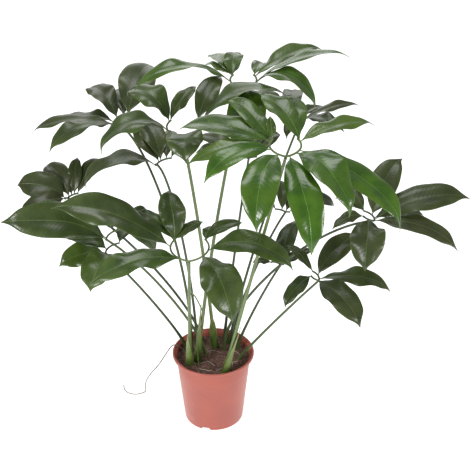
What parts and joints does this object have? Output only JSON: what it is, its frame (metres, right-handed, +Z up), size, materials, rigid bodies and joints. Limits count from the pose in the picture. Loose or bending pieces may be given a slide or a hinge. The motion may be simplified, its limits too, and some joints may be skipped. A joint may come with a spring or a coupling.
{
  "type": "potted philodendron",
  "caption": "Potted philodendron: a nursery pot filled with soil, from which long stalks rise, each with a crown of narrow pointed leaflets",
  "frame": {"origin": "middle of the pot's flat underside, on the surface that the plant stands on", "axes": "+Z up, -Y towards the light and the viewer, +X to the viewer's right"},
  "size_m": [1.1027, 0.7685, 1.0047],
  "materials": {
    "terracotta_plastic": "satin",
    "potting_soil": "matte",
    "young_leaf": "glossy",
    "old_leaf": "glossy",
    "aerial_root_bark": "matte"
  },
  "bodies": {
    "root": {"pot": "terracotta_plastic", "soil": "potting_soil", "aerial_root": "aerial_root_bark", "frond_front_right": "young_leaf", "frond_front_centre": "old_leaf", "frond_top_left": "old_leaf", "frond_top_centre": "young_leaf", "frond_far_left_top": "old_leaf", "frond_left_dark": "old_leaf", "frond_left_upper": "old_leaf", "frond_left_mid": "old_leaf", "frond_left_low": "old_leaf", "frond_right": "old_leaf", "frond_right_low": "old_leaf", "frond_right_back_low": "old_leaf", "frond_right_back_mid": "old_leaf", "frond_back_right": "old_leaf", "frond_back_centre": "old_leaf"}
  },
  "joints": []
}
